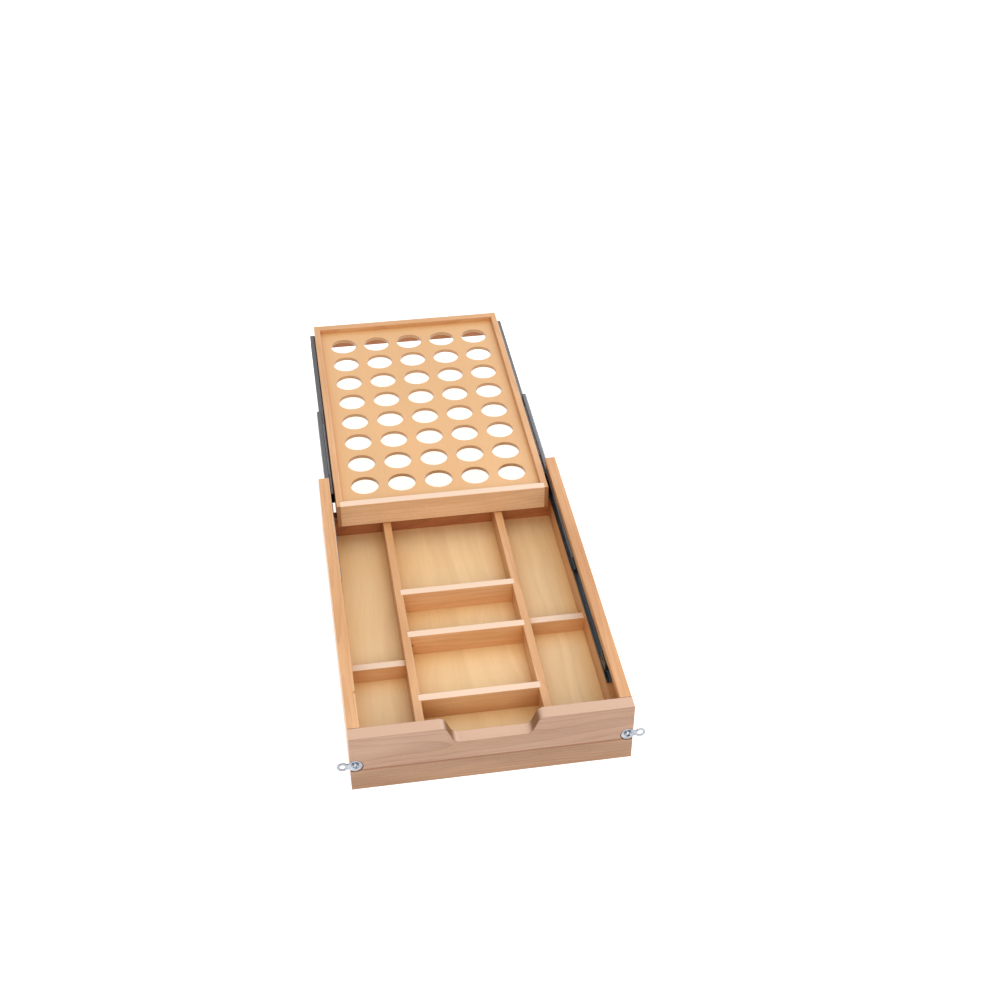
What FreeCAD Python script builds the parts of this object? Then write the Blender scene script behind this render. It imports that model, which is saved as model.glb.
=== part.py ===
"""Two-tier drawer insert: a divided lower box with a pod tray that slides above it."""
import FreeCAD, Part
import math
import os

os.makedirs("parts", exist_ok=True)

Vector = FreeCAD.Vector
UP = Vector(0, 0, 1)
BACK = Vector(0, 1, 0)
LEFT = -1
RIGHT = 1
SIDE_NAMES = {LEFT: "left", RIGHT: "right"}

# Lengths are in millimetres. X is to the right, Y runs back from the front face, Z is up.

# lower box
BOX_WIDTH = 368.3
BOX_LENGTH = 544.0
BOX_HEIGHT = 93.0
FRONT_THICK = 19.0
SIDE_THICK = 16.0
SEAM_HEIGHT = 35.0
SEAM_EASE = 1.0
EDGE_EASE = 1.2
FLOOR_TOP = 12.0
FLOOR_THICK = 6.0
FLOOR_GROOVE_DEPTH = 6.0
FLOOR_END_GAP = 0.3
REAR_FACE_Y = 500.0
REAR_THICK = 16.0
DIVIDER_THICK = 12.0
DIVIDER_TOP = 47.0
LOW_DIVIDER_TOP = 36.0
DIVIDER_INSET = 79.5
DIVIDER_SHIFT = -2.0
DADO_DEPTH = 3.0
CENTRE_DIVIDERS_Y = {"front": 98.2, "middle": 222.0, "rear": 311.0}
SIDE_DIVIDERS_Y = {LEFT: 178.5, RIGHT: 235.0}

# finger scoop in the front board
SCOOP_TOP_HALF = 61.0
SCOOP_FLOOR_HALF = 50.0
SCOOP_FLOOR_Z = 66.5
SCOOP_TOP_ROUND = 11.0
SCOOP_FLOOR_ROUND = 11.0

# dowels
DOWEL_RADIUS = 3.0
DOWEL_LENGTH = 30.0
DOWEL_GAP = 0.05
FRONT_DOWEL_SHIFT = 3.5
FRONT_DOWEL_BACKSET = 2.0
REAR_DOWEL_LENGTH = 28.0
REAR_DOWEL_IN_SIDE = 5.0
FRONT_DOWEL_HEIGHTS = (21.0, 39.0)
REAR_DOWEL_HEIGHTS = (20.0, 36.0)

# figure-eight clips on the front face
CLIP_SCREW_X = 177.6
CLIP_EYE_PITCH = 16.4
CLIP_Z = 43.0
CLIP_BIG_RADIUS = 9.6
CLIP_SMALL_RADIUS = 7.5
CLIP_NECK_HALF = 4.4
CLIP_THICK = 2.2
CLIP_SCREW_BORE = 2.58
CLIP_EYE_BORE = 3.6
CLIP_RECESS_RADIUS = 10.4
CLIP_RECESS_DEPTH = 2.6
CLIP_BACK_GAP = 0.2
CLIP_SCREW_RADIUS = 2.5
CLIP_HEAD_RADIUS = 4.6
CLIP_HEAD_HEIGHT = 2.3
CLIP_HEAD_ROUND = 1.6
CLIP_HEAD_GAP = 0.05
CLIP_SCREW_LENGTH = 15.0

# pod tray, in its fully extended place
TRAY_WIDTH = 323.5
TRAY_FRONT_Y = 477.5
TRAY_LENGTH = 516.5
TRAY_BOTTOM = 48.5
TRAY_TOP = 87.0
TRAY_SIDE_THICK = 10.0
TRAY_END_THICK = 12.7
TRAY_RABBET = 4.0
PLATE_TOP = 78.5
PLATE_THICK = 6.0
PLATE_GROOVE_DEPTH = 4.0
PLATE_END_GAP = 0.2
POD_COLUMNS = 5
POD_ROWS = 8
POD_PITCH = 57.15
POD_RADIUS = 21.45
POD_EASE = 0.5
BRAD_RADIUS = 0.7
BRAD_LENGTH = 22.0
BRAD_SET = 0.2
BRAD_HEIGHTS = (10.0, 19.0, 28.0)

# three-member ball-bearing slides; depths run outwards from the tray's outer face
STAGE_TRAVEL = 228.6
SLIDE_LENGTH = 424.0
SLIDE_FRONT_Y = 91.0
SLIDE_DEPTH = 14.2
SLIDE_HALF_HEIGHT = 17.5
SLIDE_CENTRE_Z = 65.5
SLIDE_METAL = 1.2
SLIDE_BEND = 2.2
GROOVE_CLEARANCE = 0.4
OUTER_LIP_DEPTH = 6.7
OUTER_LIP_DROP = 2.5
OUTER_LIP_BEND = 2.2
MIDDLE_HALF_HEIGHT = 13.3
MIDDLE_BACK_DEPTH = 12.3
MIDDLE_LIP_DEPTH = 4.85
MIDDLE_LIP_DROP = 0.8
MIDDLE_LIP_BEND = 1.6
MIDDLE_NOTCH_HALF = 8.6
MIDDLE_NOTCH_LENGTH = 56.0
INNER_LENGTH = 457.2
INNER_OVERHANG = 21.0
INNER_HALF_HEIGHT = 9.1
INNER_FLANGE_DEPTH = 8.1

# balls and their cages
BALL_RADIUS = 1.4
BALL_PITCH = 15.0
BALLS_PER_ROW = 9
BALL_HOLE_RADIUS = 1.5
CAGE_METAL = 0.4
CAGE_FLANGE_HALF = 0.25
CAGE_LENGTH = BALL_PITCH * BALLS_PER_ROW
OUTER_BALL_OFFSET = 14.8
OUTER_BALL_DEPTH = 10.0
OUTER_CAGE_LIP_DEPTH = 8.2
OUTER_CAGE_BACK_DEPTH = 12.85
OUTER_CAGE_Y = 345.0
INNER_BALL_OFFSET = 10.6
INNER_BALL_DEPTH = 7.7
INNER_CAGE_LIP_DEPTH = 3.7
INNER_CAGE_BACK_DEPTH = 9.9
INNER_CAGE_Y = 575.0

# bumpers and release levers
BUMPER_SETBACK = 13.0
BUMPER_LENGTH = 26.0
BUMPER_HALF_HEIGHT = 7.4
BUMPER_NEAR_DEPTH = 6.9
BUMPER_BACK_GAP = 0.05
BUMPER_ROUND = 2.0
BUMPER_SLOT_HALF = 2.0
BUMPER_SLOT_DEPTH = 4.0
BUMPER_SLOT_LENGTH = 14.0
LEVER_OFFSET_Y = 151.0
LEVER_LENGTH = 70.0
LEVER_NEAR_DEPTH = 1.5
LEVER_FAR_DEPTH = 5.5
LEVER_HALF_HEIGHT = 2.6
LEVER_END_ROUND = 2.0
LEVER_EYE_RADIUS = 5.0
LEVER_BORE = 1.6
LEVER_PIN_RADIUS = 1.5
LEVER_PIN_BORE = 1.52
LEVER_PIN_HEAD_RADIUS = 2.4
LEVER_PIN_HEAD_DEPTH = 5.7
LEVER_PIN_END = 6.3

# slide screws
SCREW_HEAD_RADIUS = 3.2
SCREW_HOLE_RADIUS = 3.3
SCREW_HEAD_THICK = 1.1
SCREW_SHANK_RADIUS = 1.7
SCREW_SHANK_GAP = 0.05
SCREW_SHANK_LENGTH = 7.5
SCREW_END_GAP = 0.3
OUTER_SCREWS_Y = (150.0, 270.0, 400.0)
INNER_SCREW_OFFSETS = (60.0, 260.0, 420.0)

# sizes that follow from the driving dimensions
HALF_WIDTH = BOX_WIDTH / 2
INNER_HALF = HALF_WIDTH - SIDE_THICK
TRAY_HALF = TRAY_WIDTH / 2
TRAY_REAR_Y = TRAY_FRONT_Y + TRAY_LENGTH
SLIDE_BACK_X = TRAY_HALF + SLIDE_DEPTH
MIDDLE_FRONT_Y = SLIDE_FRONT_Y + STAGE_TRAVEL
INNER_FRONT_Y = MIDDLE_FRONT_Y + STAGE_TRAVEL - INNER_OVERHANG
LEVER_PIN_Y = INNER_FRONT_Y + LEVER_OFFSET_Y

# how near two places must be to count as the same, and a step that is surely apart
TOUCH = 0.01
APART = 1.0


def block(x0, x1, y0, y1, z0, z1):
    """Box between two X, two Y and two Z positions, given in either order."""
    corner = Vector(min(x0, x1), min(y0, y1), min(z0, z1))
    return Part.makeBox(abs(x1 - x0), abs(y1 - y0), abs(z1 - z0), corner)


def rod_x(radius, x0, x1, y, z):
    """Round bar along X."""
    start = Vector(min(x0, x1), y, z)
    return Part.makeCylinder(radius, abs(x1 - x0), start, Vector(1, 0, 0))


def rod_y(radius, x, y0, y1, z):
    """Round bar along Y."""
    return Part.makeCylinder(radius, y1 - y0, Vector(x, y0, z), BACK)


def is_straight(edge):
    return isinstance(edge.Curve, Part.Line)


def ease_edges(shape, radius, wanted):
    """Round the straight edges whose middle point passes the test."""
    chosen = []
    for edge in shape.Edges:
        if is_straight(edge) and wanted(edge.CenterOfMass):
            chosen.append(edge)
    return shape.makeFillet(radius, chosen)


def at(value, wanted):
    return abs(value - wanted) < TOUCH


def export(shape, node):
    """Write one node, moved so that the origin is under the middle of the front rail."""
    placed = shape.copy()
    placed.translate(Vector(0, -FRONT_THICK / 2, 0))
    placed.exportStep("parts/" + node + ".step")
    if not placed.isValid():
        print("not valid:", node)
    print(node, len(placed.Solids), "solid(s)", round(placed.Volume / 1000, 2), "cm3")


def slide_x(side, depth):
    """X position at a depth behind the tray's outer face."""
    return side * (TRAY_HALF + depth)


# ---------------------------------------------------------------- lower box

def scoop_cutter():
    """Finger scoop: slanted flanks, rounded floor corners and rounded lips."""
    top = BOX_HEIGHT + APART
    slope = (SCOOP_TOP_HALF - SCOOP_FLOOR_HALF) / (BOX_HEIGHT - SCOOP_FLOOR_Z)
    top_half = SCOOP_TOP_HALF + slope * (top - BOX_HEIGHT)
    outline = Part.makePolygon([
        Vector(-top_half, 0, top),
        Vector(-SCOOP_FLOOR_HALF, 0, SCOOP_FLOOR_Z),
        Vector(SCOOP_FLOOR_HALF, 0, SCOOP_FLOOR_Z),
        Vector(top_half, 0, top),
        Vector(-top_half, 0, top),
    ])
    cutter = Part.Face(outline).extrude(Vector(0, FRONT_THICK, 0))
    floor_edges = [
        edge for edge in cutter.Edges
        if at(edge.CenterOfMass.z, SCOOP_FLOOR_Z) and abs(edge.CenterOfMass.x) > APART
    ]
    return cutter.makeFillet(SCOOP_FLOOR_ROUND, floor_edges)


def clip_recess(side):
    """Round pocket for a clip, open through the outer edge of the front."""
    x = side * CLIP_SCREW_X
    return rod_y(CLIP_RECESS_RADIUS, x, 0, CLIP_RECESS_DEPTH, CLIP_Z)


def clip_screw_bore(side):
    radius = CLIP_SCREW_RADIUS + DOWEL_GAP
    return rod_y(radius, side * CLIP_SCREW_X, 0, CLIP_SCREW_LENGTH + SCREW_END_GAP, CLIP_Z)


def dowel_bars(x, heights, y, gap):
    return [
        rod_y(DOWEL_RADIUS + gap, x, y - DOWEL_LENGTH / 2 - gap, y + DOWEL_LENGTH / 2 + gap, z)
        for z in heights
    ]


def front_dowels(gap=0.0):
    """Dowels from the front boards into the front ends of the sides."""
    bars = []
    x = HALF_WIDTH - SIDE_THICK / 2 - FRONT_DOWEL_SHIFT
    for side in (LEFT, RIGHT):
        bars += dowel_bars(side * x, FRONT_DOWEL_HEIGHTS, FRONT_THICK + FRONT_DOWEL_BACKSET, gap)
    return bars


def rear_dowels(gap=0.0):
    """Dowels through the sides' inner faces into the ends of the rear board."""
    bars = []
    y = REAR_FACE_Y + REAR_THICK / 2
    for side in (LEFT, RIGHT):
        x_in = side * (INNER_HALF + REAR_DOWEL_IN_SIDE - REAR_DOWEL_LENGTH - gap)
        x_out = side * (INNER_HALF + REAR_DOWEL_IN_SIDE + gap)
        for z in REAR_DOWEL_HEIGHTS:
            bars.append(rod_x(DOWEL_RADIUS + gap, x_in, x_out, y, z))
    return bars


def front_board():
    board = block(-HALF_WIDTH, HALF_WIDTH, 0, FRONT_THICK, SEAM_HEIGHT, BOX_HEIGHT)
    board = board.cut(scoop_cutter())
    lip_edges = [
        edge for edge in board.Edges
        if at(edge.CenterOfMass.z, BOX_HEIGHT)
        and abs(abs(edge.CenterOfMass.x) - SCOOP_TOP_HALF) < APART
        and at(edge.CenterOfMass.y, FRONT_THICK / 2)
    ]
    board = board.makeFillet(SCOOP_TOP_ROUND, lip_edges)
    board = ease_edges(board, EDGE_EASE, lambda p: at(p.z, BOX_HEIGHT) and abs(p.x) < HALF_WIDTH - APART)
    board = ease_edges(board, SEAM_EASE, lambda p: at(p.z, SEAM_HEIGHT) and at(p.y, 0))
    for side in (LEFT, RIGHT):
        board = board.cut(clip_recess(side)).cut(clip_screw_bore(side))
    return board.cut(Part.makeCompound(front_dowels(DOWEL_GAP)))


def front_base_rail():
    rail = block(-HALF_WIDTH, HALF_WIDTH, 0, FRONT_THICK, 0, SEAM_HEIGHT)
    rail = ease_edges(rail, SEAM_EASE, lambda p: at(p.z, SEAM_HEIGHT) and at(p.y, 0))
    for side in (LEFT, RIGHT):
        rail = rail.cut(clip_recess(side))
    rail = rail.cut(floor_slot())
    return rail.cut(Part.makeCompound(front_dowels(DOWEL_GAP)))


def floor_slot():
    """Space that the bottom panel's edges fill in the boards around it."""
    reach = INNER_HALF + FLOOR_GROOVE_DEPTH
    y0 = FRONT_THICK - FLOOR_GROOVE_DEPTH
    y1 = REAR_FACE_Y + FLOOR_GROOVE_DEPTH
    return block(-reach, reach, y0, y1, FLOOR_TOP - FLOOR_THICK, FLOOR_TOP)


def slide_groove(side):
    """Long groove in a side board that takes the slide's outer member."""
    half = SLIDE_HALF_HEIGHT + GROOVE_CLEARANCE
    x_out = side * SLIDE_BACK_X
    return block(side * (INNER_HALF - APART), x_out, FRONT_THICK, BOX_LENGTH,
                 SLIDE_CENTRE_Z - half, SLIDE_CENTRE_Z + half)


def screw_bores_outer(side):
    x0 = side * SLIDE_BACK_X
    x1 = x0 + side * (SCREW_SHANK_LENGTH + SCREW_END_GAP)
    radius = SCREW_SHANK_RADIUS + SCREW_SHANK_GAP
    return [rod_x(radius, x0, x1, y, SLIDE_CENTRE_Z) for y in OUTER_SCREWS_Y]


def box_side(side):
    board = block(side * INNER_HALF, side * HALF_WIDTH, FRONT_THICK, BOX_LENGTH, 0, BOX_HEIGHT)
    board = ease_edges(board, EDGE_EASE, lambda p: at(p.z, BOX_HEIGHT) and p.y > FRONT_THICK + APART)
    board = board.cut(slide_groove(side)).cut(floor_slot())
    board = board.cut(Part.makeCompound(screw_bores_outer(side)))
    board = board.cut(Part.makeCompound(front_dowels(DOWEL_GAP)))
    return board.cut(Part.makeCompound(rear_dowels(DOWEL_GAP)))


def rear_board():
    y1 = REAR_FACE_Y + REAR_THICK
    board = block(-INNER_HALF, INNER_HALF, REAR_FACE_Y, y1, 0, DIVIDER_TOP)
    board = ease_edges(board, EDGE_EASE, lambda p: at(p.z, DIVIDER_TOP) and at(p.x, 0))
    return board.cut(floor_slot()).cut(Part.makeCompound(rear_dowels(DOWEL_GAP)))


def bottom_panel():
    reach = INNER_HALF + FLOOR_GROOVE_DEPTH - FLOOR_END_GAP
    y0 = FRONT_THICK - FLOOR_GROOVE_DEPTH + FLOOR_END_GAP
    y1 = REAR_FACE_Y + FLOOR_GROOVE_DEPTH - FLOOR_END_GAP
    return block(-reach, reach, y0, y1, FLOOR_TOP - FLOOR_THICK, FLOOR_TOP)


def long_divider(side):
    """Front-to-back divider with dados for the cross dividers on both faces."""
    near = DIVIDER_SHIFT + side * DIVIDER_INSET
    far = near + side * DIVIDER_THICK
    board = block(near, far, FRONT_THICK, REAR_FACE_Y, FLOOR_TOP, DIVIDER_TOP)
    board = ease_edges(board, EDGE_EASE, lambda p: at(p.z, DIVIDER_TOP)
                       and FRONT_THICK + APART < p.y < REAR_FACE_Y - APART)
    for y in CENTRE_DIVIDERS_Y.values():
        board = board.cut(block(near, near + side * DADO_DEPTH, y, y + DIVIDER_THICK,
                                FLOOR_TOP, DIVIDER_TOP))
    y = SIDE_DIVIDERS_Y[side]
    return board.cut(block(far, far - side * DADO_DEPTH, y, y + DIVIDER_THICK, FLOOR_TOP, LOW_DIVIDER_TOP))


def cross_divider(x0, x1, y, top):
    board = block(x0, x1, y, y + DIVIDER_THICK, FLOOR_TOP, top)
    middle = (x0 + x1) / 2
    return ease_edges(board, EDGE_EASE, lambda p: at(p.z, top) and at(p.x, middle))


def centre_cross_divider(y):
    reach = DIVIDER_INSET + DADO_DEPTH
    return cross_divider(DIVIDER_SHIFT - reach, DIVIDER_SHIFT + reach, y, DIVIDER_TOP)


def side_cross_divider(side):
    near = DIVIDER_SHIFT + side * (DIVIDER_INSET + DIVIDER_THICK - DADO_DEPTH)
    return cross_divider(near, side * INNER_HALF, SIDE_DIVIDERS_Y[side], LOW_DIVIDER_TOP)


# ---------------------------------------------------------------- front clips

def clip(side):
    """Figure-eight plate: a big eye on the screw and a small eye beyond the edge."""
    x_screw = side * CLIP_SCREW_X
    x_eye = side * (CLIP_SCREW_X + CLIP_EYE_PITCH)
    y1 = CLIP_RECESS_DEPTH - CLIP_BACK_GAP
    y0 = y1 - CLIP_THICK
    plate = rod_y(CLIP_BIG_RADIUS, x_screw, y0, y1, CLIP_Z)
    plate = plate.fuse(rod_y(CLIP_SMALL_RADIUS, x_eye, y0, y1, CLIP_Z))
    neck = block(x_screw, x_eye, y0, y1, CLIP_Z - CLIP_NECK_HALF, CLIP_Z + CLIP_NECK_HALF)
    plate = plate.fuse(neck).removeSplitter()
    plate = plate.cut(rod_y(CLIP_SCREW_BORE, x_screw, y0, y1, CLIP_Z))
    return plate.cut(rod_y(CLIP_EYE_BORE, x_eye, y0, y1, CLIP_Z))


def clip_screw(side):
    x = side * CLIP_SCREW_X
    head_back = CLIP_RECESS_DEPTH - CLIP_BACK_GAP - CLIP_THICK - CLIP_HEAD_GAP
    head = rod_y(CLIP_HEAD_RADIUS, x, head_back - CLIP_HEAD_HEIGHT, head_back, CLIP_Z)
    rim = [edge for edge in head.Edges
           if not is_straight(edge) and edge.CenterOfMass.y < head_back - APART]
    head = head.makeFillet(CLIP_HEAD_ROUND, rim)
    return head.fuse(rod_y(CLIP_SCREW_RADIUS, x, head_back, CLIP_SCREW_LENGTH, CLIP_Z))


# ---------------------------------------------------------------- slides

def profile(side, points, y0, length):
    """Extrude an outline of (depth, height) points along Y on one side."""
    corners = [Vector(slide_x(side, depth), y0, SLIDE_CENTRE_Z + height) for depth, height in points]
    corners.append(corners[0])
    return Part.Face(Part.makePolygon(corners)).extrude(Vector(0, length, 0))


def bend(shape, side, depth, height, radius):
    """Round the two long edges at a depth, above and below the slide's centre."""
    x = slide_x(side, depth)
    chosen = [
        edge for edge in shape.Edges
        if at(edge.CenterOfMass.x, x)
        and at(abs(edge.CenterOfMass.z - SLIDE_CENTRE_Z), height)
        and edge.Length > SLIDE_LENGTH - APART
    ]
    return shape.makeFillet(radius, chosen)


def lipped_channel(side, back, lip, half, drop, lip_bend, y0):
    """Rolled channel open towards the tray, with a lip on the end of each flange."""
    inner = half - SLIDE_METAL
    upper = [
        (back, half),
        (lip, half),
        (lip, inner - drop),
        (lip + SLIDE_METAL, inner - drop),
        (lip + SLIDE_METAL, inner),
        (back - SLIDE_METAL, inner),
    ]
    lower = [(depth, -height) for depth, height in reversed(upper)]
    shape = profile(side, upper + lower, y0, SLIDE_LENGTH)
    shape = bend(shape, side, back, half, SLIDE_BEND)
    shape = bend(shape, side, back - SLIDE_METAL, inner, SLIDE_BEND - SLIDE_METAL)
    return bend(shape, side, lip, half, lip_bend)


def slide_outer(side):
    shape = lipped_channel(side, SLIDE_DEPTH, OUTER_LIP_DEPTH, SLIDE_HALF_HEIGHT,
                           OUTER_LIP_DROP, OUTER_LIP_BEND, SLIDE_FRONT_Y)
    x0 = slide_x(side, SLIDE_DEPTH - SLIDE_METAL)
    x1 = slide_x(side, SLIDE_DEPTH)
    holes = [rod_x(SCREW_HOLE_RADIUS, x0, x1, y, SLIDE_CENTRE_Z) for y in OUTER_SCREWS_Y]
    return shape.cut(Part.makeCompound(holes))


def slide_middle(side):
    """Middle member, notched at the front so that it can pass the bumper."""
    shape = lipped_channel(side, MIDDLE_BACK_DEPTH, MIDDLE_LIP_DEPTH, MIDDLE_HALF_HEIGHT,
                           MIDDLE_LIP_DROP, MIDDLE_LIP_BEND, MIDDLE_FRONT_Y)
    x0 = slide_x(side, MIDDLE_BACK_DEPTH - SLIDE_METAL)
    x1 = slide_x(side, MIDDLE_BACK_DEPTH)
    y_round = MIDDLE_FRONT_Y + MIDDLE_NOTCH_LENGTH - MIDDLE_NOTCH_HALF
    notch = block(x0, x1, MIDDLE_FRONT_Y, y_round,
                  SLIDE_CENTRE_Z - MIDDLE_NOTCH_HALF, SLIDE_CENTRE_Z + MIDDLE_NOTCH_HALF)
    notch = notch.fuse(rod_x(MIDDLE_NOTCH_HALF, x0, x1, y_round, SLIDE_CENTRE_Z))
    return shape.cut(notch)


def slide_inner(side):
    """Inner member, screwed to the tray, with its channel open towards the box."""
    half = INNER_HALF_HEIGHT
    inner = half - SLIDE_METAL
    upper = [
        (0, half),
        (INNER_FLANGE_DEPTH, half),
        (INNER_FLANGE_DEPTH, inner),
        (SLIDE_METAL, inner),
    ]
    lower = [(depth, -height) for depth, height in reversed(upper)]
    shape = profile(side, upper + lower, INNER_FRONT_Y, INNER_LENGTH)
    shape = bend(shape, side, 0, half, SLIDE_BEND)
    shape = bend(shape, side, SLIDE_METAL, inner, SLIDE_BEND - SLIDE_METAL)
    x0 = slide_x(side, 0)
    x1 = slide_x(side, SLIDE_METAL)
    holes = [rod_x(SCREW_HOLE_RADIUS, x0, x1, INNER_FRONT_Y + offset, SLIDE_CENTRE_Z)
             for offset in INNER_SCREW_OFFSETS]
    holes.append(rod_x(LEVER_PIN_BORE, x0, x1, LEVER_PIN_Y, SLIDE_CENTRE_Z))
    return shape.cut(Part.makeCompound(holes))


def ball_places(side, y0, depth, offset):
    """Centres of the balls in a cage's two rows."""
    places = []
    for row in (-1, 1):
        for index in range(BALLS_PER_ROW):
            y = y0 + BALL_PITCH * (index + 0.5)
            places.append(Vector(slide_x(side, depth), y, SLIDE_CENTRE_Z + row * offset))
    return places


def ball_cage(places, side, y0, lip, back, offset):
    """Thin strip bent into a channel, with a round hole for each ball."""
    top = offset + CAGE_FLANGE_HALF
    bottom = offset - CAGE_FLANGE_HALF
    upper = [
        (back, top),
        (lip, top),
        (lip, bottom),
        (back - CAGE_METAL, bottom),
    ]
    lower = [(depth, -height) for depth, height in reversed(upper)]
    shape = profile(side, upper + lower, y0, CAGE_LENGTH)
    holes = [
        Part.makeCylinder(BALL_HOLE_RADIUS, 2 * CAGE_METAL, place - Vector(0, 0, CAGE_METAL), UP)
        for place in places
    ]
    return shape.cut(Part.makeCompound(holes))


def cage_balls(places):
    return Part.makeCompound([Part.makeSphere(BALL_RADIUS, place) for place in places])


def slide_bumper(side):
    """Slotted plastic block in the front of the outer member."""
    y0 = SLIDE_FRONT_Y + BUMPER_SETBACK
    y1 = y0 + BUMPER_LENGTH
    near = slide_x(side, BUMPER_NEAR_DEPTH)
    far = slide_x(side, SLIDE_DEPTH - SLIDE_METAL - BUMPER_BACK_GAP)
    middle = (near + far) / 2
    shape = block(near, far, y0, y1,
                  SLIDE_CENTRE_Z - BUMPER_HALF_HEIGHT, SLIDE_CENTRE_Z + BUMPER_HALF_HEIGHT)
    shape = ease_edges(shape, BUMPER_ROUND, lambda p: at(p.y, y1) and at(p.x, middle))
    slot = block(near, near + side * BUMPER_SLOT_DEPTH, y1 - BUMPER_SLOT_LENGTH, y1,
                 SLIDE_CENTRE_Z - BUMPER_SLOT_HALF, SLIDE_CENTRE_Z + BUMPER_SLOT_HALF)
    return shape.cut(slot)


def release_lever(side):
    """Plastic lever that turns on a pin inside the inner member."""
    x0 = slide_x(side, LEVER_NEAR_DEPTH)
    x1 = slide_x(side, LEVER_FAR_DEPTH)
    end_y = LEVER_PIN_Y + LEVER_LENGTH
    arm = block(x0, x1, LEVER_PIN_Y, end_y,
                SLIDE_CENTRE_Z - LEVER_HALF_HEIGHT, SLIDE_CENTRE_Z + LEVER_HALF_HEIGHT)
    arm = ease_edges(arm, LEVER_END_ROUND, lambda p: at(p.y, end_y) and at(p.x, (x0 + x1) / 2))
    eye = rod_x(LEVER_EYE_RADIUS, x0, x1, LEVER_PIN_Y, SLIDE_CENTRE_Z)
    shape = eye.fuse(arm).removeSplitter()
    return shape.cut(rod_x(LEVER_BORE, x0, x1, LEVER_PIN_Y, SLIDE_CENTRE_Z))


def lever_pin(side):
    head_x = slide_x(side, LEVER_PIN_HEAD_DEPTH)
    shank = rod_x(LEVER_PIN_RADIUS, slide_x(side, 0), head_x, LEVER_PIN_Y, SLIDE_CENTRE_Z)
    head = rod_x(LEVER_PIN_HEAD_RADIUS, head_x, slide_x(side, LEVER_PIN_END), LEVER_PIN_Y, SLIDE_CENTRE_Z)
    return shank.fuse(head)


def outer_slide_screws():
    screws = []
    for side in (LEFT, RIGHT):
        back = slide_x(side, SLIDE_DEPTH)
        for y in OUTER_SCREWS_Y:
            head = rod_x(SCREW_HEAD_RADIUS, back - side * SCREW_HEAD_THICK, back, y, SLIDE_CENTRE_Z)
            shank = rod_x(SCREW_SHANK_RADIUS, back, back + side * SCREW_SHANK_LENGTH, y, SLIDE_CENTRE_Z)
            screws.append(head.fuse(shank))
    return Part.makeCompound(screws)


def inner_slide_screws():
    screws = []
    for side in (LEFT, RIGHT):
        face = slide_x(side, 0)
        for offset in INNER_SCREW_OFFSETS:
            y = INNER_FRONT_Y + offset
            head = rod_x(SCREW_HEAD_RADIUS, face, face + side * SCREW_HEAD_THICK, y, SLIDE_CENTRE_Z)
            shank = rod_x(SCREW_SHANK_RADIUS, face - side * SCREW_SHANK_LENGTH, face, y, SLIDE_CENTRE_Z)
            screws.append(head.fuse(shank))
    return Part.makeCompound(screws)


# ---------------------------------------------------------------- pod tray

def plate_slot():
    """Space that the pod plate's edges fill in the tray boards."""
    reach = TRAY_HALF - TRAY_SIDE_THICK + PLATE_GROOVE_DEPTH
    y0 = TRAY_FRONT_Y + TRAY_END_THICK - PLATE_GROOVE_DEPTH
    y1 = TRAY_REAR_Y - TRAY_END_THICK + PLATE_GROOVE_DEPTH
    return block(-reach, reach, y0, y1, PLATE_TOP - PLATE_THICK, PLATE_TOP)


def tray_brads(gap=0.0):
    """Headless brads through the side boards into the ends of the end boards."""
    brads = []
    middles = (TRAY_FRONT_Y + TRAY_END_THICK / 2, TRAY_REAR_Y - TRAY_END_THICK / 2)
    for side in (LEFT, RIGHT):
        x_out = side * (TRAY_HALF - BRAD_SET + gap)
        x_in = side * (TRAY_HALF - BRAD_LENGTH - gap)
        for y in middles:
            for height in BRAD_HEIGHTS:
                brads.append(rod_x(BRAD_RADIUS + gap, x_in, x_out, y, TRAY_BOTTOM + height))
    return Part.makeCompound(brads)


def tray_side(side):
    near = side * (TRAY_HALF - TRAY_SIDE_THICK)
    board = block(near, side * TRAY_HALF, TRAY_FRONT_Y, TRAY_REAR_Y, TRAY_BOTTOM, TRAY_TOP)
    board = ease_edges(board, EDGE_EASE, lambda p: at(p.z, TRAY_TOP)
                       and TRAY_FRONT_Y + APART < p.y < TRAY_REAR_Y - APART)
    for y0 in (TRAY_FRONT_Y, TRAY_REAR_Y - TRAY_END_THICK):
        rabbet = block(near, near + side * TRAY_RABBET, y0, y0 + TRAY_END_THICK, TRAY_BOTTOM, TRAY_TOP)
        board = board.cut(rabbet)
    bores = [
        rod_x(SCREW_SHANK_RADIUS + SCREW_SHANK_GAP, side * (TRAY_HALF - SCREW_SHANK_LENGTH - SCREW_END_GAP),
              side * TRAY_HALF, INNER_FRONT_Y + offset, SLIDE_CENTRE_Z)
        for offset in INNER_SCREW_OFFSETS
    ]
    return board.cut(plate_slot()).cut(Part.makeCompound(bores)).cut(tray_brads(SCREW_SHANK_GAP))


def tray_end(y0):
    half = TRAY_HALF - TRAY_SIDE_THICK + TRAY_RABBET
    board = block(-half, half, y0, y0 + TRAY_END_THICK, TRAY_BOTTOM, TRAY_TOP)
    board = ease_edges(board, EDGE_EASE, lambda p: at(p.z, TRAY_TOP) and at(p.x, 0))
    return board.cut(plate_slot()).cut(tray_brads(SCREW_SHANK_GAP))


def pod_places():
    first_x = -POD_PITCH * (POD_COLUMNS - 1) / 2
    first_y = (TRAY_FRONT_Y + TRAY_REAR_Y) / 2 - POD_PITCH * (POD_ROWS - 1) / 2
    return [
        (first_x + POD_PITCH * column, first_y + POD_PITCH * row)
        for row in range(POD_ROWS) for column in range(POD_COLUMNS)
    ]


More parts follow.
